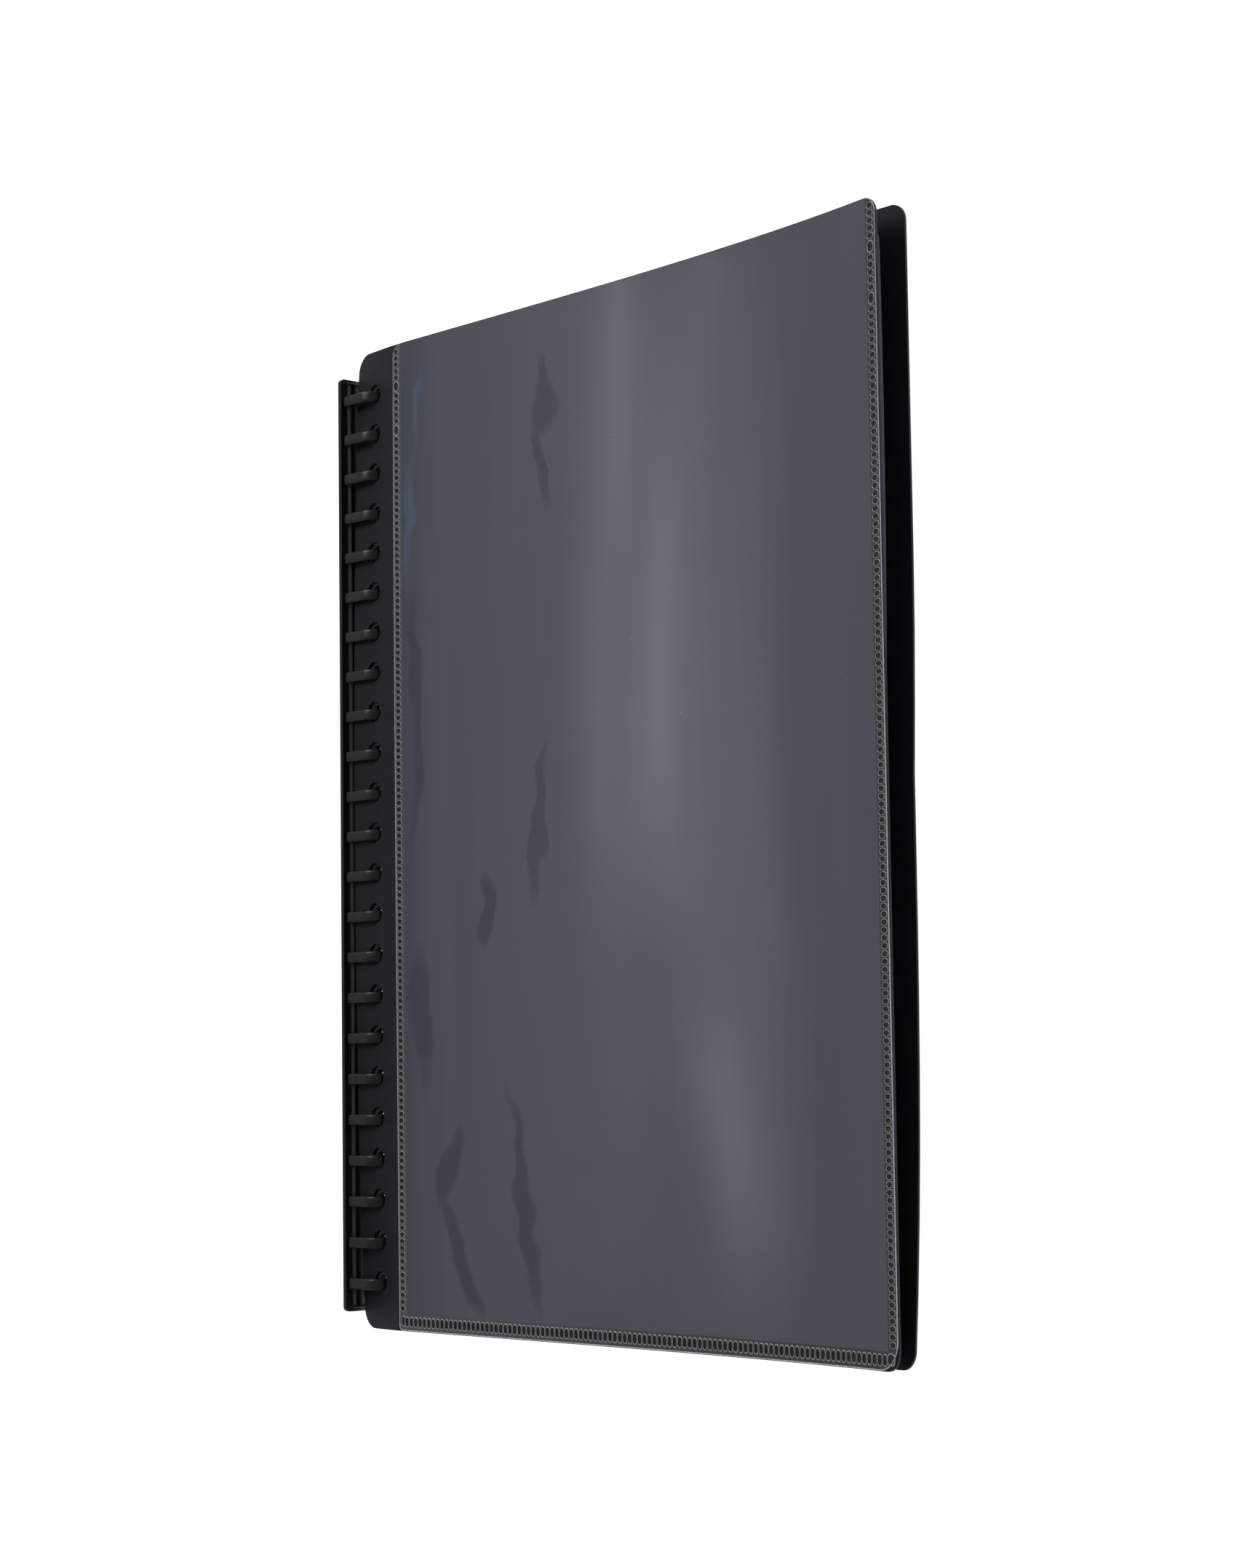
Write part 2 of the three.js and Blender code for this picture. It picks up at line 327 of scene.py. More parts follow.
def film_seam():
    """The band where the film is welded down: flatter and greyer than the rest."""
    s = Shader("film_seam")
    uneven = s.noise(1.3, 4.0, 0.65)
    base = s.mix(s.ramp(uneven, (0.3, 0.0), (0.7, 1.0)), (0.085, 0.085, 0.1, 1), (0.12, 0.12, 0.138, 1))
    # the seam's grey gets darker towards the fore edge
    darker_to_fore_edge = s.ramp(s.coordinate("X"), (60.0, 0.0), (230.0, 1.0))
    base = s.mix(darker_to_fore_edge, base, (0.054, 0.051, 0.055, 1))
    s.set(Base_Color=base, Roughness=s.ramp(uneven, (0.3, 0.28), (0.7, 0.45)), Alpha=0.88)
    s.bump(uneven, 0.05, 0.6)
    return s.material


def cut_edge():
    """The film's cut edge, painted pale as a painted highlight for the light it gathers, with brighter
    painted sparkles and a rougher bump where the knife tore it.
    """
    s = Shader("film_cut_edge")
    torn_and_sparkle = s.noise(2.4, 4.0, 0.7, s.stretched((0.4, 1.0, 0.4)))
    # painted highlight: the edge's colour is near white, brighter still in painted sparkles
    base = s.mix(s.ramp(torn_and_sparkle, (0.52, 0.0), (0.68, 1.0)), (0.56, 0.55, 0.7, 1), (0.95, 0.95, 1.0, 1))
    s.set(Base_Color=base, Roughness=0.3, Specular_IOR_Level=0.6)
    s.bump(torn_and_sparkle, 0.04, 0.6)
    return s.material


def weld_rim():
    """Film pushed up round each weld mark, painted light grey all over as a painted highlight for the
    light its crest catches.
    """
    s = Shader("weld_rim")
    uneven = s.noise(2.2, 3.0)
    # painted highlight: a light grey base on the whole rim
    base = s.mix(s.ramp(uneven, (0.3, 0.0), (0.7, 1.0)), (0.22, 0.22, 0.23, 1), (0.46, 0.46, 0.47, 1))
    s.set(Base_Color=base, Roughness=0.14, Specular_IOR_Level=0.8)
    return s.material


def weld_floor():
    """The bottom of each weld mark, where clear film fused to the cover shows it black."""
    s = Shader("weld_floor")
    uneven = s.noise(1.8, 3.0)
    base = s.mix(uneven, (0.007, 0.007, 0.008, 1), (0.016, 0.016, 0.016, 1))
    s.set(Base_Color=base, Roughness=s.ramp(uneven, (0.3, 0.3), (0.7, 0.45)), Specular_IOR_Level=0.3)
    s.bump(uneven, 0.08, 0.5)
    return s.material


def clear_leaf():
    """A clear pocket leaf: faintly blue film with soft ripples, clearer where it is punched and
    milkier along the welds at its fore edge and foot."""
    s = Shader("clear_leaf")
    ripples = s.noise(0.012, 2.0, 0.5, s.stretched((1.0, 0.3, 1.0)))
    base = s.mix(s.ramp(ripples, (0.3, 0.0), (0.7, 1.0)), (0.48, 0.53, 0.62, 1), (0.56, 0.6, 0.67, 1))
    s.set(Base_Color=base, Roughness=s.ramp(ripples, (0.3, 0.16), (0.7, 0.24)))
    punched = s.ramp(s.coordinate("X"), (15.0, 0.15), (19.0, 1.0))
    side_weld = s.ramp(s.coordinate("X"), (LEAF_WELD_X, 0.0), (LEAF_WELD_X + 0.3, 0.3))
    foot_weld = s.ramp(s.coordinate("Y"), (LEAF_WELD_Y - 0.3, 0.3), (LEAF_WELD_Y, 0.0))
    weld = s.math("MAXIMUM", side_weld, foot_weld)
    clear = s.math("MULTIPLY", s.ramp(ripples, (0.3, 0.22), (0.7, 0.28)), punched)
    s.set(Alpha=s.math("ADD", clear, s.math("MULTIPLY", weld, punched)))
    s.bump(ripples, 0.4, 0.3)
    return s.material


def leaf_edge():
    """The leaves' cut edges seen end on: bluish grey, a little uneven."""
    s = Shader("leaf_edge")
    uneven = s.noise(0.5, 4.0, 0.6)
    pale = s.ramp(uneven, (0.3, 0.0), (0.7, 1.0))
    base = s.mix(pale, (0.04, 0.049, 0.086, 1), (0.058, 0.068, 0.108, 1))
    s.set(Base_Color=base, Roughness=0.4)
    return s.material


COVER = cover_plastic()
COMB = comb_plastic()
RIDGE = ridge_painted_highlight()
FILM = pocket_film()
SEAM = film_seam()
CUT_EDGE = cut_edge()
WELD_RIM = weld_rim()
WELD_FLOOR = weld_floor()
LEAF = clear_leaf()
LEAF_EDGE = leaf_edge()


# Mesh building --------------------------------------------------------------------------------
def finish_piece(name, bm, materials, shape=None):
    """A piece from a bmesh in book millimetres. shape moves each point of a flat sheet."""
    bmesh.ops.recalc_face_normals(bm, faces=bm.faces)
    page = [tuple(v.co) for v in bm.verts]
    for v in bm.verts:
        v.co = to_row(shape(v.co) if shape else v.co)
    mesh = bpy.data.meshes.new(name)
    bm.to_mesh(mesh)
    bm.free()
    mesh.attributes.new("page", "FLOAT_VECTOR", "POINT").data.foreach_set("vector", np.ravel(page))
    mesh.shade_smooth()
    for material in materials:
        mesh.materials.append(material)
    piece = bpy.data.objects.new(name, mesh)
    bpy.context.scene.collection.objects.link(piece)
    piece.modifiers.new("even_shading", "WEIGHTED_NORMAL").weight = 100
    return piece


def rounded_rectangle(low, high, radii, steps=10):
    """Points round a rectangle from its low left corner, anticlockwise, a radius at each corner."""
    (x0, y0), (x1, y1) = low, high
    corners = ((x0, y0, 1, 1), (x1, y0, -1, 1), (x1, y1, -1, -1), (x0, y1, 1, -1))
    points = []
    for index, ((x, y, side_x, side_y), radius) in enumerate(zip(corners, radii)):
        start = math.pi * (1 + index / 2)
        count = steps if radius else 0
        for step in range(count + 1):
            angle = start + math.pi / 2 * step / max(count, 1)
            middle = (x + side_x * radius, y + side_y * radius)
            points.append((middle[0] + radius * math.cos(angle), middle[1] + radius * math.sin(angle)))
    return points


def circle(x, y, radius, steps=36):
    turns = [2 * math.pi * step / steps for step in range(steps)]
    return [(x + radius * math.cos(turn), y + radius * math.sin(turn)) for turn in turns]


def squared_oval(x, y, size_x, size_y, power, steps):
    """Points round an oval. A power of 1 makes it an ellipse, and smaller ones make it squarer."""
    points = []
    for step in range(steps):
        turn = 2 * math.pi * step / steps
        away_x = math.copysign(abs(math.cos(turn)) ** power, math.cos(turn)) * size_x / 2
        away_y = math.copysign(abs(math.sin(turn)) ** power, math.sin(turn)) * size_y / 2
        points.append((x + away_x, y + away_y))
    return points


def cut_sheet(outlines, bottom, thickness, rim, x_lines, y_lines=()):
    """A flat sheet with rounded edges, cut to closed outlines and sliced so that it can bend.
    The first outline is the sheet's own and the others are holes. The rim's faces get material 1."""
    bm = bmesh.new()
    for outline in outlines:
        ring = [bm.verts.new((x, y, bottom)) for x, y in outline]
        for first, second in zip(ring, ring[1:] + ring[:1]):
            bm.edges.new((first, second))
    bmesh.ops.triangle_fill(bm, edges=bm.edges, use_beauty=True)
    raised = bmesh.ops.extrude_face_region(bm, geom=list(bm.faces))
    top = [item for item in raised["geom"] if isinstance(item, bmesh.types.BMVert)]
    bmesh.ops.translate(bm, verts=top, vec=(0, 0, thickness))
    bmesh.ops.recalc_face_normals(bm, faces=bm.faces)
    upright = [face for face in bm.faces if abs(face.normal.z) < 0.5]
    for face in upright:
        face.material_index = 1
    sharp = {
        edge for face in upright for edge in face.edges
        if any(abs(other.normal.z) > 0.5 for other in edge.link_faces)
    }
    bmesh.ops.bevel(
        bm, geom=list(sharp), offset=rim, segments=2, profile=0.5, affect="EDGES", material=1,
        clamp_overlap=True,
    )
    for axis, lines in ((0, x_lines), (1, y_lines)):
        for line in lines:
            place = [0, 0, 0]
            normal = [0, 0, 0]
            place[axis] = line
            normal[axis] = 1
            everything = [*bm.verts, *bm.edges, *bm.faces]
            bmesh.ops.bisect_plane(bm, geom=everything, dist=1e-4, plane_co=place, plane_no=normal)
    return bm


def ring_height(index):
    return TOP_RING_Y - index * RING_PITCH


def pressed(x, y, share):
    """The stack has play inside the rings: it stands up a little half way along the spine, and at
    the ends it lies lower and closer together. share is 0 for the back cover and 1 for the front."""
    near = max(0.0, 1 - x / PRESSED_WIDTH) ** PRESSED_POWER
    ends = (abs(y) / HALF_HEIGHT) ** END_POWER
    return near * (MIDDLE_LIFT - ends * (MIDDLE_LIFT + END_DROP + END_SQUEEZE * share))


def curled(bend, opening, curl, share):
    """How a sheet that opens at x = bend rises towards the fore edge."""
    panel = COVER_WIDTH - COVER_BEND

    def rise(point):
        x, y, z = point
        along = max(0.0, x - bend)
        reach = max(0.0, x - COVER_BEND) / panel
        height = along * math.tan(opening) + curl * reach ** CURL_POWER + pressed(x, y, share)
        return Vector((x, y, z + height))

    return rise


BEND_SLICES = 13
PANEL_SLICES = 30


def bend_lines(bend, reach, end):
    """Slices close together over the bend and wider apart over the panel."""
    close = np.linspace(bend - reach, bend + reach, BEND_SLICES)
    wide = np.linspace(bend + reach, end, PANEL_SLICES)[1:-1]
    return [*close, *wide]


def blend_at_bend(piece, bend, height, reach):
    start = to_row((bend - reach, 0, height))
    end = to_row((bend + reach, 0, height))
    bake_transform(piece)


# Covers ---------------------------------------------------------------------------------------
BEND_REACH = 3.0
CORNER_LIFT = 4.4
CORNER_DROP = 1.4
COVER_RIM = 0.14
CORNER_POWER = 6
FLATTEST_SHARE = 0.4
MARGIN_LINES = (4.0, 8.0)
PAGE_LINES = [HALF_HEIGHT * step / 8 for step in range(-7, 8)]


def hole_outlines(x, lower, radius):
    return [circle(x, ring_height(index) + lower, radius) for index in range(RING_COUNT)]


def add_cover(name, bottom, body, outer, hole_radius, shape):
    outline = rounded_rectangle((0, -HALF_HEIGHT), (COVER_WIDTH, HALF_HEIGHT), CORNER_RADII)
    holes = hole_outlines(HOLE_X, HOLE_LIFT + COMB_DROP, hole_radius)
    slices = bend_lines(COVER_BEND, BEND_REACH, COVER_WIDTH - max(CORNER_RADII))
    slices = [*MARGIN_LINES, *slices]
    bm = cut_sheet([outline, *holes], bottom, COVER_THICKNESS, COVER_RIM, slices, PAGE_LINES)
    piece = finish_piece(name, bm, [COVER, COVER], shape)
    blend_at_bend(piece, COVER_BEND, outer, BEND_REACH)
    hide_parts(body, f"{body}_margin")


FRONT_SHAPE = curled(COVER_BEND, FRONT_OPENING, FRONT_CURL, 1.0)
BACK_RISE = curled(COVER_BEND, BACK_CLOSING, BACK_CURL, 0.0)


def twisted_back(point):
    """The back cover's lower fore corner curls up, and the upper part of its fore edge lies flat."""
    raised = BACK_RISE(point)
    share = point[1] / HALF_HEIGHT
    reach = (max(0.0, point[0] - COVER_BEND) / (COVER_WIDTH - COVER_BEND)) ** CORNER_POWER
    if share < 0:
        raised.z += CORNER_LIFT * reach * -share ** 3
    else:
        raised.z -= CORNER_DROP * reach * math.sin(math.pi / 2 * min(1.0, share / FLATTEST_SHARE))
    return raised


add_cover("front_cover_sheet", FRONT_LOW[2], "front_cover", FRONT_OUTER, FRONT_HOLE_RADIUS, FRONT_SHAPE)
add_cover("back_cover_sheet", -FRONT_OUTER, "back_cover", -FRONT_OUTER, BACK_HOLE_RADIUS, twisted_back)


# Pocket leaves --------------------------------------------------------------------------------
LEAF_REACH = 1.1
LEAF_RIM = 0.03
LEAF_SAG = 1.8
LEAF_MARGIN_LINES = (8.0,)
SAG_MIDDLE = 100.0
SAG_REACH = 95.0


def leaf_shape(number, bend):
    """The leaves follow the front cover, but hang a little away from it near the top."""
    rise = curled(bend, LEAF_OPENING, FRONT_CURL, number / (LEAF_COUNT + 1))

    def shape(point):
        raised = rise(point)
        reach = max(0.0, point[0] - COVER_BEND) / (COVER_WIDTH - COVER_BEND)
        sag = max(0.0, 1 - ((point[1] - SAG_MIDDLE) / SAG_REACH) ** 2)
        raised.z -= LEAF_SAG * sag * reach ** 2
        return raised

    return shape


def add_leaf(number):
    node = f"pocket_leaf_{number:02d}"
    low, high = book_box(f"{node}_margin")
    bend = (TO_BOOK @ joint_place(f"{node}_bend")).x
    radii = (0, LEAF_CORNER_RADIUS, LEAF_CORNER_RADIUS, 0)
    outline = rounded_rectangle((low[0], low[1]), (LEAF_WIDTH, high[1]), radii, steps=6)
    holes = hole_outlines(LEAF_HOLE_X, 0, LEAF_HOLE_RADIUS)
    slices = bend_lines(bend, LEAF_REACH, LEAF_WIDTH - LEAF_CORNER_RADIUS)
    slices = [*LEAF_MARGIN_LINES, *slices]
    bm = cut_sheet([outline, *holes], low[2], high[2] - low[2], LEAF_RIM, slices, PAGE_LINES)
    for face in bm.faces:
        if face.calc_center_median().x < COVER_BEND:
            face.material_index = 0
    piece = finish_piece(f"{node}_sheet", bm, [LEAF, LEAF_EDGE], leaf_shape(number, bend))
    blend_at_bend(piece, bend, high[2], LEAF_REACH)
    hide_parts(node, f"{node}_margin")


for leaf_number in range(1, LEAF_COUNT + 1):
    add_leaf(leaf_number)


# Front pocket film ----------------------------------------------------------------------------
FILM_THICKNESS = 0.2
FILM_GAP = 0.05
FILM_LEFT = 20.4
FILM_INSET = 0.25
FILM_CORNERS = (1.5, 7.5, 4.0, 4.0)
SEAM_WIDTH = 4.2
LOW_SEAM_WIDTH = 5.2
SEAM_CENTRE = 2.2
FILM_RIM = 0.06
FILM_SLICES = (56, 72)
PUFF = 0.35
PUFF_EASE_X = 25
PUFF_EASE_Y = 30
BEAD_RADII = (0.18, 0.11)
BEAD_STEP = 4
BEAD_OVERLAP = 0.6


def on_front_cover(x, y, height=0.0):
    """A point above the front cover's outer face."""
    return FRONT_SHAPE((x, y, FRONT_OUTER + height))


def film_point(point):
    """A point whose z is its height above the front cover's outer face."""
    return on_front_cover(*point)


def film_puff(x, y):
    """How far the film stands off the cover: nothing along the welds, a little in the middle."""
    left, right = FILM_LEFT + SEAM_WIDTH, COVER_WIDTH - SEAM_WIDTH
    low = -HALF_HEIGHT + LOW_SEAM_WIDTH
    if not (left < x < right and y > low):
        return 0.0
    ease_x = min(1.0, (x - left) / PUFF_EASE_X, (right - x) / PUFF_EASE_X)
    ease_y = min(1.0, (y - low) / PUFF_EASE_Y)
    waves = (
        0.5 * math.sin(x / 17 + 0.6 * math.sin(y / 60))
        + 0.3 * math.sin(x / 9.5 + 1.3 + 0.9 * math.sin(y / 45 + 1))
        + 0.2 * math.sin(y / 31 + x / 40)
    )
    ease = ease_x * ease_x * (3 - 2 * ease_x) * ease_y * ease_y * (3 - 2 * ease_y)
    return PUFF * ease * (1 + waves) / 2


def film_outline():
    high = HALF_HEIGHT - FILM_INSET
    return rounded_rectangle((FILM_LEFT, -high), (COVER_WIDTH - FILM_INSET, high), FILM_CORNERS)


def add_film():
    seam_lines = [FILM_LEFT + SEAM_WIDTH, COVER_WIDTH - SEAM_WIDTH]
    low_seam = -HALF_HEIGHT + LOW_SEAM_WIDTH
    x_lines = np.linspace(FILM_LEFT, COVER_WIDTH, FILM_SLICES[0])[1:-1]
    y_lines = np.linspace(-HALF_HEIGHT, HALF_HEIGHT, FILM_SLICES[1])[1:-1]
    x_lines = [*seam_lines, *x_lines]
    y_lines = [low_seam, *y_lines]
    bm = cut_sheet([film_outline()], 0.0, FILM_THICKNESS, FILM_RIM, x_lines, y_lines)
    for face in bm.faces:
        middle = face.calc_center_median()
        welded = not (seam_lines[0] < middle.x < seam_lines[1] and middle.y > low_seam)
        if face.material_index == 0 and welded:
            face.material_index = 2

    def shape(point):
        height = FILM_GAP + point[2] + film_puff(point[0], point[1])
        return on_front_cover(point[0], point[1], height)

    piece = finish_piece("front_pocket_film_sheet", bm, [FILM, CUT_EDGE, SEAM], shape)
    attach(piece, "front_cover")
    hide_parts("front_pocket_film")


def add_film_bead():
    """The hot knife leaves a fine bead along the film's left, lower and right edges, which gets
    thinner towards the top."""
    outline = film_outline()
    top = HALF_HEIGHT - FILM_INSET - max(FILM_CORNERS)
    upper_left = [point for point in outline if point[1] > top and point[0] < COVER_WIDTH / 2]
    outline = upper_left + [point for point in outline if point not in upper_left]
    closer = []
    for (x0, y0), (x1, y1) in zip(outline, outline[1:]):
        count = max(1, int(math.hypot(x1 - x0, y1 - y0) / BEAD_STEP))
        closer += [(x0 + (x1 - x0) * k / count, y0 + (y1 - y0) * k / count) for k in range(count)]
    closer.append(outline[-1])
    bm = bmesh.new()
    sides = 8
    loops = []
    for index, (x, y) in enumerate(closer):
        before = closer[max(index - 1, 0)]
        after = closer[min(index + 1, len(closer) - 1)]
        along = Vector((after[0] - before[0], after[1] - before[1])).normalized()
        radius = np.interp(y, (0, HALF_HEIGHT), BEAD_RADII)
        loop = []
        for side in range(sides):
            turn = 2 * math.pi * side / sides
            out = radius * (math.cos(turn) - BEAD_OVERLAP)
            height = FILM_GAP + FILM_THICKNESS / 2 + radius * math.sin(turn)
            loop.append(bm.verts.new((x + along.y * out, y - along.x * out, height)))
        loops.append(loop)
    for first, second in zip(loops, loops[1:]):
        for side in range(sides):
            following = (side + 1) % sides
            bm.faces.new((first[side], first[following], second[following], second[side]))
    bm.faces.new(loops[0])
    bm.faces.new(loops[-1])
    piece = finish_piece("front_pocket_film_bead", bm, [CUT_EDGE], film_point)
    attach(piece, "front_cover")


add_film()
add_film_bead()


# Weld marks -----------------------------------------------------------------------------------
MARK_PITCH = 2.05
MARK_LENGTH = 2.8
MARK_WIDTH = 1.85
LOW_MARK_PITCH = 2.15
LOW_MARK_SIZE = (2.0, 3.5)
LARGE_MARK_HEIGHT = 3.5
CORNER_MARK_SIZE = (3.4, 3.4)
RIGHT_CORNER_SHIFT = (-0.8, 0.3)
LEFT_CORNER_SHIFT = (0.3, 0.2)
MARK_RISE = 0.17
MARK_SQUARENESS = 0.75
SIDE_LARGE_MARKS = (141.7, 127.5)
MARK_STEPS = 20
MARK_PROFILE = ((1.0, -0.1), (0.93, 0.65), (0.86, 1.0), (0.78, 0.6), (0.7, 0.1))
MARK_JITTER = (0.8, 1.15)
JITTER_SEED = 7
TOP_MARK_INSET = 2.6
LEFT_MARK_INSET = 1.9
LOW_MARK_INSET = 2.9
LAST_MARK_GAP = 3.4


def crater(bm, x, y, size_x, size_y, jitter):
    """A low oval rim of pushed-up film round a fused floor. Material 0 is the rim, 1 the floor."""
    surface = FILM_GAP + FILM_THICKNESS
    loops = []
    for share, rise in MARK_PROFILE:
        height = surface + rise * MARK_RISE * jitter
        oval = squared_oval(x, y, size_x * share, size_y * share, MARK_SQUARENESS, MARK_STEPS)
        loops.append([bm.verts.new((*point, height)) for point in oval])
    for outer, inner in zip(loops, loops[1:]):
        for step in range(MARK_STEPS):
            following = (step + 1) % MARK_STEPS
            face = bm.faces.new((outer[step], outer[following], inner[following], inner[step]))
            face.material_index = 0 if inner is not loops[-1] else 1
    bm.faces.new(loops[-1]).material_index = 1


def side_marks(x, low):
    """Weld marks down one side, with two tall ones near the top."""
    marks = []
    y = HALF_HEIGHT - TOP_MARK_INSET
    while y > low + LOW_MARK_SIZE[1]:
        tall = any(abs(y - large) < MARK_PITCH / 2 for large in SIDE_LARGE_MARKS)
        height = LARGE_MARK_HEIGHT if tall else MARK_WIDTH
        marks.append((x, y - (height - MARK_WIDTH) / 2, MARK_LENGTH, height))
        y -= MARK_PITCH + height - MARK_WIDTH
    return marks


def seam_marks():
    """(x, y, width, height) of every weld mark down both sides and along the bottom."""
    left = FILM_LEFT + LEFT_MARK_INSET
    right = COVER_WIDTH - SEAM_CENTRE
    low = -HALF_HEIGHT + LOW_MARK_INSET
    first = left + LOW_MARK_PITCH
    last = right - LAST_MARK_GAP
    count = round((last - first) / LOW_MARK_PITCH)
    bottom = [(first + (last - first) * k / count, low, *LOW_MARK_SIZE) for k in range(count + 1)]
    corners = [
        (right + RIGHT_CORNER_SHIFT[0], low + RIGHT_CORNER_SHIFT[1], *CORNER_MARK_SIZE),
        (left + LEFT_CORNER_SHIFT[0], low + LEFT_CORNER_SHIFT[1], *LOW_MARK_SIZE),
    ]
    return side_marks(left, low) + side_marks(right, low) + bottom + corners


def add_weld_marks():
    chance = random.Random(JITTER_SEED)
    bm = bmesh.new()
    for x, y, width, height in seam_marks():
        crater(bm, x, y, width, height, chance.uniform(*MARK_JITTER))
    materials = [WELD_RIM, WELD_FLOOR]
    piece = finish_piece("front_pocket_weld_marks", bm, materials, film_point)
    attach(piece, "front_cover")


add_weld_marks()


# Ring comb ------------------------------------------------------------------------------------
RING_CROWN = 0.6
RING_HOOK = 0.75
RING_ROOT_GAP = 0.55
ROUNDED_END = ((0.0, 0.55), (0.12, 0.8), (0.3, 0.94), (0.5, 1.0))
BAR_RIM = 0.25
STRIP_RIM = 0.22
RIB_RIM = 0.3
RIB_ROOT = 0.3
STRIP_END_INSET = 1.2
END_WALL_THICKNESS = 0.9
END_WALL_RIM = 0.2
END_WALL = (-2.6, 2.9)


def sweep(path, width, thickness, y_middle):
    """A bar with a crowned section run along (x, z, angle) steps. Its ends are rounded."""
    section = squared_oval(0, 0, width, thickness, RING_CROWN, 20)
    bm = bmesh.new()
    last = len(path) - 1
    end_length = ROUNDED_END[-1][0]
    loops = []
    for index, (x, z, angle) in enumerate(path):
        ends = ROUNDED_END if index in (0, last) else ((0.0, 1.0),)
        ends = ends if index == 0 else ends[::-1]
        forward = (math.cos(angle), math.sin(angle))
        for inset, share in ends:
            move = 0.0
            if index == 0:
                move = inset - end_length
            elif index == last:
                move = end_length - inset
            loop = []
            for across, out in section:
                point_x = x + forward[0] * move - forward[1] * out * share
                point_z = z + forward[1] * move + forward[0] * out * share
                loop.append(bm.verts.new((point_x, y_middle + across * share, point_z)))
            loops.append(loop)
    for first, second in zip(loops, loops[1:]):
        for step in range(len(section)):
            following = (step + 1) % len(section)
            bm.faces.new((first[step], first[following], second[following], second[step]))
    bm.faces.new(loops[0])
    bm.faces.new(loops[-1])
    return bm


def ring_path():
    """The ring's middle line from the rail, round through the holes, to the tip behind the strip."""
    half = RING_HIGH[2] - RING_THICKNESS / 2
    centre = RING_HIGH[0] - RING_HIGH[2]
    tip = RING_LOW[0]
    root = RAIL_HIGH[0] + RING_ROOT_GAP
    path = [(x, -half, 0.0) for x in np.linspace(root, centre, 5)]
    for step in range(1, 25):
        angle = -math.pi / 2 + math.pi * step / 24
        path.append((centre + half * math.cos(angle), half * math.sin(angle), angle + math.pi / 2))
    start = tip + RING_THICKNESS / 2 + RING_HOOK
    path += [(x, half, math.pi) for x in np.linspace(centre, start, 5)[1:]]
    for step in range(1, 7):
        angle = math.pi / 2 + math.pi / 2 * step / 6
        x = start + RING_HOOK * math.cos(angle)
        z = half - RING_HOOK + RING_HOOK * math.sin(angle)
        path.append((x, z, angle + math.pi / 2))
    return path


def add_comb():
    path = ring_path()
    for index in range(RING_COUNT):
        bm = sweep(path, RING_WIDTH, RING_THICKNESS, ring_height(index))
        piece = finish_piece(f"comb_ring_{index + 1:02d}", bm, [COMB])
        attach(piece, "comb")
        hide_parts(f"ring_{index + 1:02d}")


def block(bm, low, high, rim):
    """A box with rounded edges, added to bm."""
    middle = (Vector(low) + Vector(high)) / 2
    size = Vector(high) - Vector(low)
    place = Matrix.Translation(middle) @ Matrix.Diagonal((*size, 1))
    made = bmesh.ops.create_cube(bm, size=1, matrix=place)
    edges = list({edge for v in made["verts"] for edge in v.link_edges})
    bmesh.ops.bevel(bm, geom=edges, offset=rim, segments=3, profile=0.5, affect="EDGES")


def add_rail():
    bm = bmesh.new()
    block(bm, RAIL_LOW, RAIL_HIGH, BAR_RIM)
    piece = finish_piece("comb_rail_bar", bm, [COMB])
    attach(piece, "comb")
    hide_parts("comb_rail")


def add_strip():
    """The strip's flat back, two ribs inside it and a low wall across each end."""
    inner = STRIP_LOW[0] + STRIP_THICKNESS
    half = (STRIP_HIGH[1] - STRIP_LOW[1]) / 2
    middle_y = (STRIP_HIGH[1] + STRIP_LOW[1]) / 2
    outline = rounded_rectangle(
        (STRIP_LOW[2], -half), (STRIP_HIGH[2], half), [STRIP_END_RADIUS] * 4
    )
    bm = cut_sheet([outline], 0.0, STRIP_THICKNESS, STRIP_RIM, ())
    for v in bm.verts:
        v.co = (inner - v.co.z, v.co.y + middle_y, v.co.x)
    end = half - STRIP_END_INSET
    root = inner - RIB_ROOT
    plain = set(bm.faces)
    for top in RIB_TOPS:
        low = (root, middle_y - end, top - RIB_WIDTH)
        high = (STRIP_HIGH[0], middle_y + end, top)
        block(bm, low, high, RIB_RIM)
    for face in set(bm.faces) - plain:
        face.material_index = 2
    for side in (-1, 1):
        y = middle_y + side * end
        low_y, high_y = sorted((y, y - side * END_WALL_THICKNESS))
        block(bm, (root, low_y, END_WALL[0]), (STRIP_HIGH[0], high_y, END_WALL[1]), END_WALL_RIM)
    piece = finish_piece("spine_strip_cover", bm, [COMB, COMB, RIDGE])
    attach(piece, "spine_strip")
    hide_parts("spine_strip")


add_comb()
add_rail()
add_strip()


# Floor, lights and camera ---------------------------------------------------------------------
FLOOR_REACH = 60.0
FLOOR_DROP = 0.0005
FLOOR_GLOW = 0.95
WORLD_COLOUR = (0.97, 0.98, 1.0, 1)
WORLD_STRENGTH = 0.25
CAMERA_END = 50

# Where the film shines (x, y, strength), from its upper edge down: a wide faint band and a narrow
# bright one, each with the lamps' spread in degrees, their power and how many there are
WIDE_BAND = ((166, 150, 0.8), (166, 60, 1.0), (166, -20, 1.0), (169, -80, 0.8), (176, -140, 0.4))
UPPER_CORE = ((136, 150, 0.5), (136, 110, 0.85), (136, 20, 1.0), (136, -8, 0.7), (145, -44, 0.1))
LOWER_CORE = ((157, -56, 0.1), (165, -75, 0.4), (176, -100, 0.4), (183, -118, 0.3), (186, -136, 0.1))
GLOSS = {
    "wide": (7.0, 1.1e-5, 20, WIDE_BAND),
    "upper": (1.6, 1.4e-6, 16, UPPER_CORE),
    "lower": (1.6, 1.3e-6, 9, LOWER_CORE),
}
GLOSS_DISTANCE = 1200
GLOSS_SIZE = (0.02, 0.02)
GLOSS_COLOUR = (0.96, 0.99, 1.06)


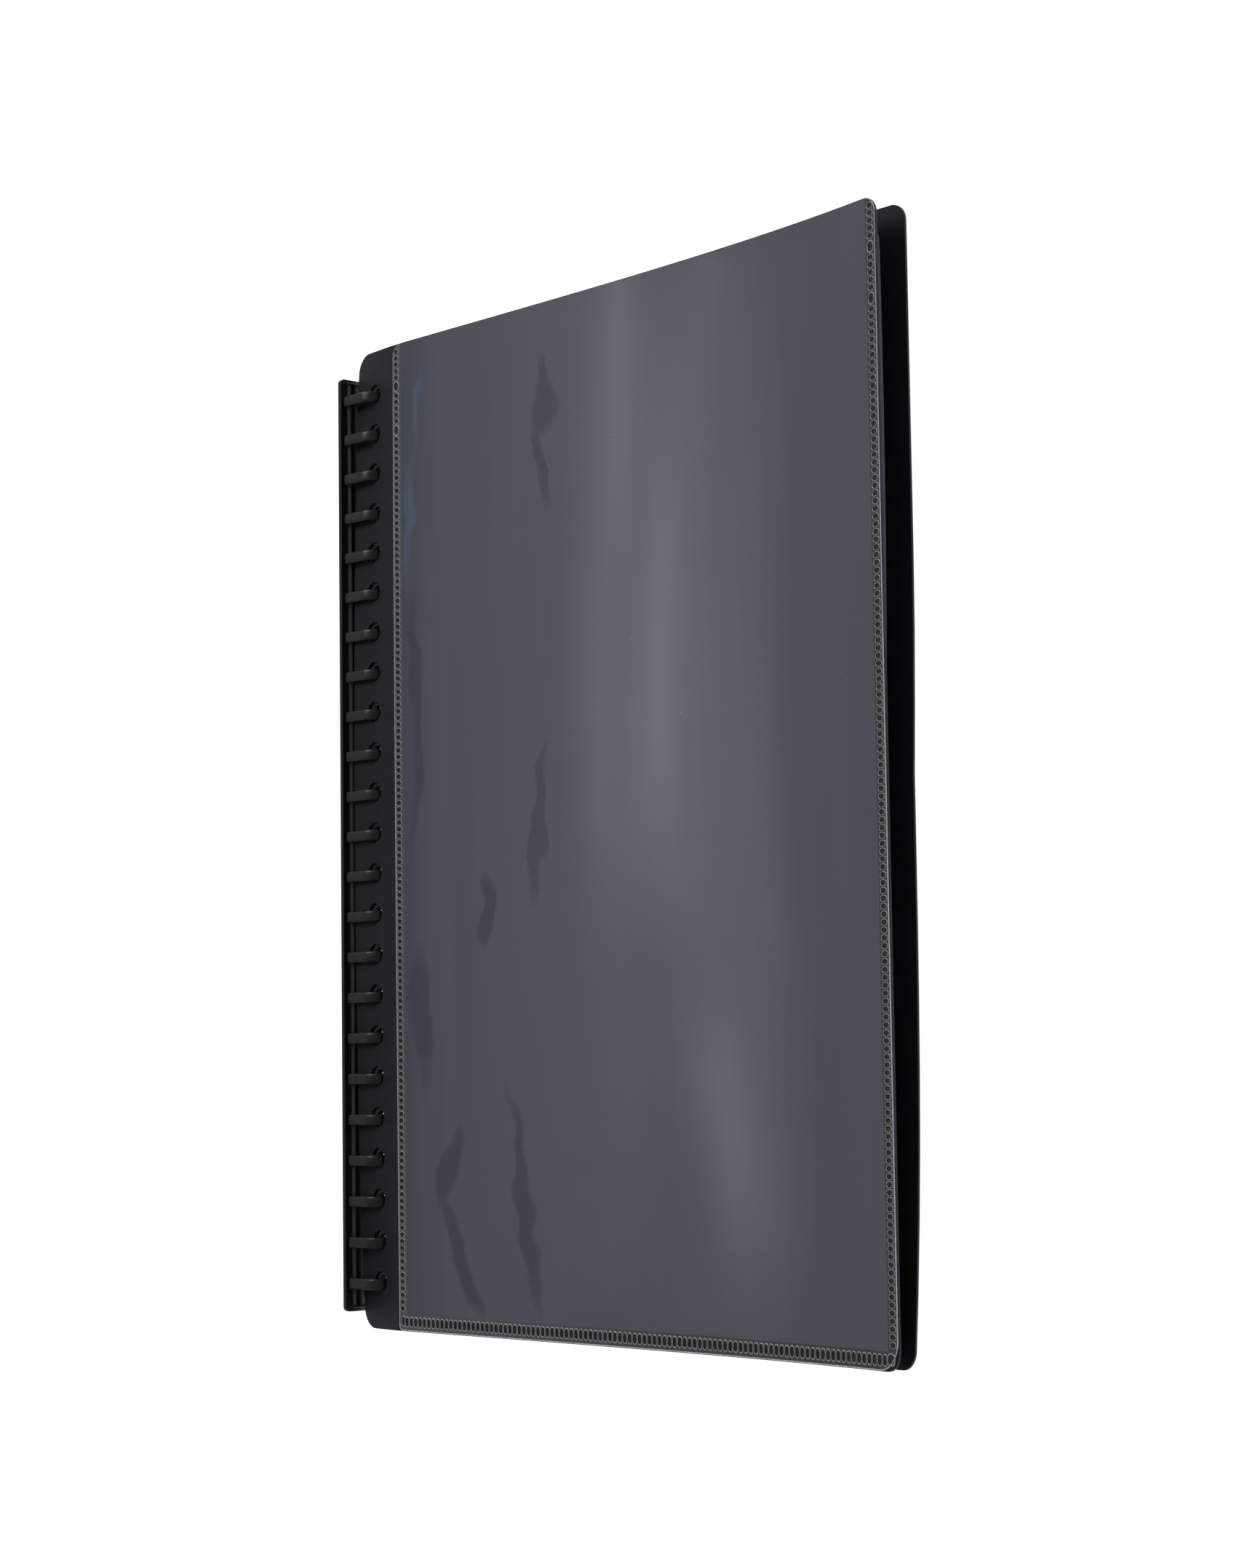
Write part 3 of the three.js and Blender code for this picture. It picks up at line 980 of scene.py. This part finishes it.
def add_floor():
    mesh = bpy.data.meshes.new("floor")
    near, far = -FLOOR_REACH, FLOOR_REACH
    corners = [(near, near, 0), (far, near, 0), (far, far, 0), (near, far, 0)]
    mesh.from_pydata(corners, [], [(0, 1, 2, 3)])
    material = bpy.data.materials.new("pale_floor")
    material.use_nodes = True
    surface = material.node_tree.nodes["Principled BSDF"]
    surface.inputs["Base Color"].default_value = (0.8, 0.8, 0.8, 1)
    surface.inputs["Roughness"].default_value = 0.9
    surface.inputs["Emission Color"].default_value = (1, 1, 1, 1)
    surface.inputs["Emission Strength"].default_value = FLOOR_GLOW
    mesh.materials.append(material)
    floor = bpy.data.objects.new("floor", mesh)
    floor.location.z = -FLOOR_DROP
    bpy.context.scene.collection.objects.link(floor)


def add_area_light(name, place, aim, size, power):
    """A soft box at place, facing aim, both in book millimetres. Its size is in metres."""
    light = bpy.data.lights.new(name, "AREA")
    light.shape = "RECTANGLE"
    light.size, light.size_y = size
    light.energy = power
    lamp = bpy.data.objects.new(name, light)
    lamp.location = to_row(place)
    lamp.rotation_mode = "QUATERNION"
    lamp.rotation_quaternion = (to_row(aim) - to_row(place)).to_track_quat("-Z", "Y")
    bpy.context.scene.collection.objects.link(lamp)
    return lamp


def mirror_place(target, distance):
    """Where a lamp stands when the camera sees it reflected at target on the front cover."""
    before = FRONT_SHAPE((target.x - 1, target.y, 0))
    after = FRONT_SHAPE((target.x + 1, target.y, 0))
    slope = (after - before).z / 2
    normal = Vector((-slope, 0, 1)).normalized()
    seen = (target - CAMERA_PLACE).normalized()
    return target + (seen - 2 * seen.dot(normal) * normal) * distance


def add_gloss():
    """Rows of small gridded lamps whose reflections make the soft upright band on the film."""
    for name, (spread, power, count, path) in GLOSS.items():
        across, up, strength = zip(*path)
        for index, y in enumerate(np.linspace(up[0], up[-1], count)):
            x = np.interp(-y, np.negative(up), across)
            share = np.interp(-y, np.negative(up), strength)
            target = on_front_cover(x, y, FILM_GAP)
            place = mirror_place(target, GLOSS_DISTANCE)
            label = f"gloss_{name}_{index:02d}"
            lamp = add_area_light(label, place, target, GLOSS_SIZE, power * share)
            lamp.data.spread = math.radians(spread)
            lamp.data.color = GLOSS_COLOUR
            lamp.visible_camera = False


def add_world():
    world = bpy.data.worlds.new("studio")
    bpy.context.scene.world = world
    world.use_nodes = True
    background = world.node_tree.nodes["Background"]
    background.inputs["Color"].default_value = WORLD_COLOUR
    background.inputs["Strength"].default_value = WORLD_STRENGTH


def add_camera():
    data = bpy.data.cameras.new("camera")
    data.lens = CAMERA_LENS
    data.sensor_width = CAMERA_SENSOR
    data.clip_end = CAMERA_END
    camera = bpy.data.objects.new("camera", data)
    back = -direction_in_row(CAMERA_AIM)
    right = direction_in_row(CAMERA_UP).cross(back).normalized()
    up = back.cross(right)
    turn = Matrix((right, up, back)).transposed().to_4x4()
    camera.matrix_world = Matrix.Translation(to_row(CAMERA_PLACE)) @ turn
    bpy.context.scene.collection.objects.link(camera)
    bpy.context.scene.camera = camera


add_floor()
add_world()
add_area_light("key", (-300, 900, 1300), (100, 0, 0), (1.2, 0.8), 12)
add_area_light("low_left", (-1150, 20, 130), (120, 0, 5), (1.0, 0.22), 1.6)
add_gloss()
add_camera()
bpy.context.scene.view_settings.view_transform = "Standard"
